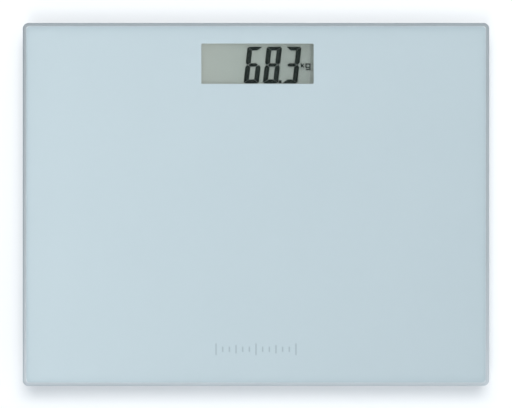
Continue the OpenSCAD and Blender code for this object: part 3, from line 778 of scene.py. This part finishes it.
def make_label():
    """A blank rating plate in the recess of the underside, whose lower rim is rounded."""
    tray_lo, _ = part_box("base_tray")
    w, d, corner, middle_y = 113, 51, 2.4, -48
    sunk, thick, rim = 0.22, 0.17, 0.06
    low = tray_lo.z / MM + sunk
    place = Vector((0, middle_y, 0)) * MM
    rings = [
        [p + place for p in ring(w - 2 * inset, d - 2 * inset, corner - inset, z, 8)]
        for inset, z in ((rim, low), (0.0, low + rim), (0.0, low + thick))
    ]
    data = loft(rings, "rating_plate")
    data.materials.append(label_foil())
    piece = bpy.data.objects.new("rating_plate", data)
    bpy.context.scene.collection.objects.link(piece)
    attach(piece, "case")


# ---- Studio ----


def make_floor():
    """A pale floor, seen only from above, so that the underside can be looked at from below."""
    half_width = 6.0
    mesh = bmesh.new()
    bmesh.ops.create_grid(mesh, x_segments=2, y_segments=2, size=half_width)
    data = baked(mesh, "floor")
    s = Surface("floor_paper", rough=0.9)
    s.set("Base Color", s.blend(s.noise(400, 2), (0.847, 0.849, 0.852), (0.857, 0.857, 0.857)))
    s.set("Specular IOR Level", 0.0)
    clear = s.add("ShaderNodeBsdfTransparent")
    side = s.add("ShaderNodeNewGeometry")
    mix = s.add("ShaderNodeMixShader")
    s.join(side.outputs["Backfacing"], mix.inputs[0])
    s.join(s.shader.outputs[0], mix.inputs[1])
    s.join(clear.outputs[0], mix.inputs[2])
    s.join(mix.outputs[0], s.output.inputs["Surface"])
    data.materials.append(s.material)
    floor = bpy.data.objects.new("floor", data)
    bpy.context.scene.collection.objects.link(floor)
    floor.visible_diffuse = False
    floor.visible_glossy = False
    floor.visible_shadow = False


def add_softbox(name, place, target, size, power, colour, skipped=()):
    """A rectangular lamp that faces its target, and adds nothing to the skipped kinds of light."""
    lamp = bpy.data.lights.new(name, "AREA")
    lamp.shape = "RECTANGLE"
    lamp.size, lamp.size_y = size
    lamp.energy = power
    lamp.color = colour
    ob = bpy.data.objects.new(name, lamp)
    ob.location = place
    ob.rotation_euler = (Vector(target) - Vector(place)).to_track_quat("-Z", "Y").to_euler()
    for kind in skipped:
        setattr(ob, "visible_" + kind, False)
    bpy.context.scene.collection.objects.link(ob)


def make_lights():
    """A large soft light behind the scale and a weaker one before it, a sheen from the left, low strips
    at the right and the front that light the plate's edge, and a light for the underside."""
    white, warm, warmer = (1.0, 1.0, 1.0), (1.0, 0.99, 0.98), (1.0, 0.985, 0.965)
    middle, edge = (0, 0, 0), (0, 0, 0.02)
    matt_only, sheen_only = ("glossy", "transmission"), ("diffuse", "transmission")
    add_softbox("key", (0.05, 0.70, 1.42), middle, (1.0, 0.7), 16, warmer, matt_only)
    add_softbox("fill", (-0.2, -0.6, 1.25), middle, (0.5, 0.5), 4, warm, matt_only)
    add_softbox("sheen", (-0.78, -0.15, 1.25), middle, (0.4, 0.8), 8, white, sheen_only)
    add_softbox("rim", (1.3, -0.3, 0.12), edge, (0.8, 0.14), 3.5, white)
    add_softbox("front", (0.1, -1.25, 0.10), edge, (0.8, 0.12), 1.0, white)
    add_softbox("under", (0.7, -0.9, -0.8), middle, (0.7, 0.5), 9, warm, ("transmission",))


def make_surroundings():
    """Pale blue surroundings that darken overhead, where the camera stands."""
    world = bpy.data.worlds.new("surroundings")
    world.use_nodes = True
    bpy.context.scene.world = world
    tree = world.node_tree
    background = tree.nodes["Background"]
    background.inputs["Strength"].default_value = 0.63
    place = tree.nodes.new("ShaderNodeTexCoord")
    split = tree.nodes.new("ShaderNodeSeparateXYZ")
    ramp = tree.nodes.new("ShaderNodeValToRGB")
    stops = ((0.955, (0.84, 0.92, 1.0, 1)), (0.993, (0.12, 0.13, 0.14, 1)))
    for element, (position, colour) in zip(ramp.color_ramp.elements, stops):
        element.position = position
        element.color = colour
    tree.links.new(place.outputs["Generated"], split.inputs[0])
    tree.links.new(split.outputs["Z"], ramp.inputs[0])
    tree.links.new(ramp.outputs[0], background.inputs["Color"])


def make_camera():
    """Straight above, from far enough that the plate's sides don't show."""
    lo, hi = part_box("glass_platform")
    middle = (lo + hi) / 2
    height, seen_width, towards_display = 1.5, 0.307, 0.0003
    data = bpy.data.cameras.new("camera")
    data.sensor_width = 36
    data.lens = data.sensor_width * height / seen_width
    data.clip_start = 0.05
    camera = bpy.data.objects.new("camera", data)
    camera.location = (middle.x, middle.y + towards_display, hi.z + height)
    bpy.context.scene.collection.objects.link(camera)
    bpy.context.scene.camera = camera


make_platform_glass()
make_coat()
make_display()
make_case()
make_inside()
make_label()
make_floor()
make_lights()
make_surroundings()
make_camera()

scene = bpy.context.scene
scene.view_settings.view_transform = "Standard"
scene.cycles.caustics_refractive = False
scene.cycles.caustics_reflective = False
scene.cycles.transparent_max_bounces = 24
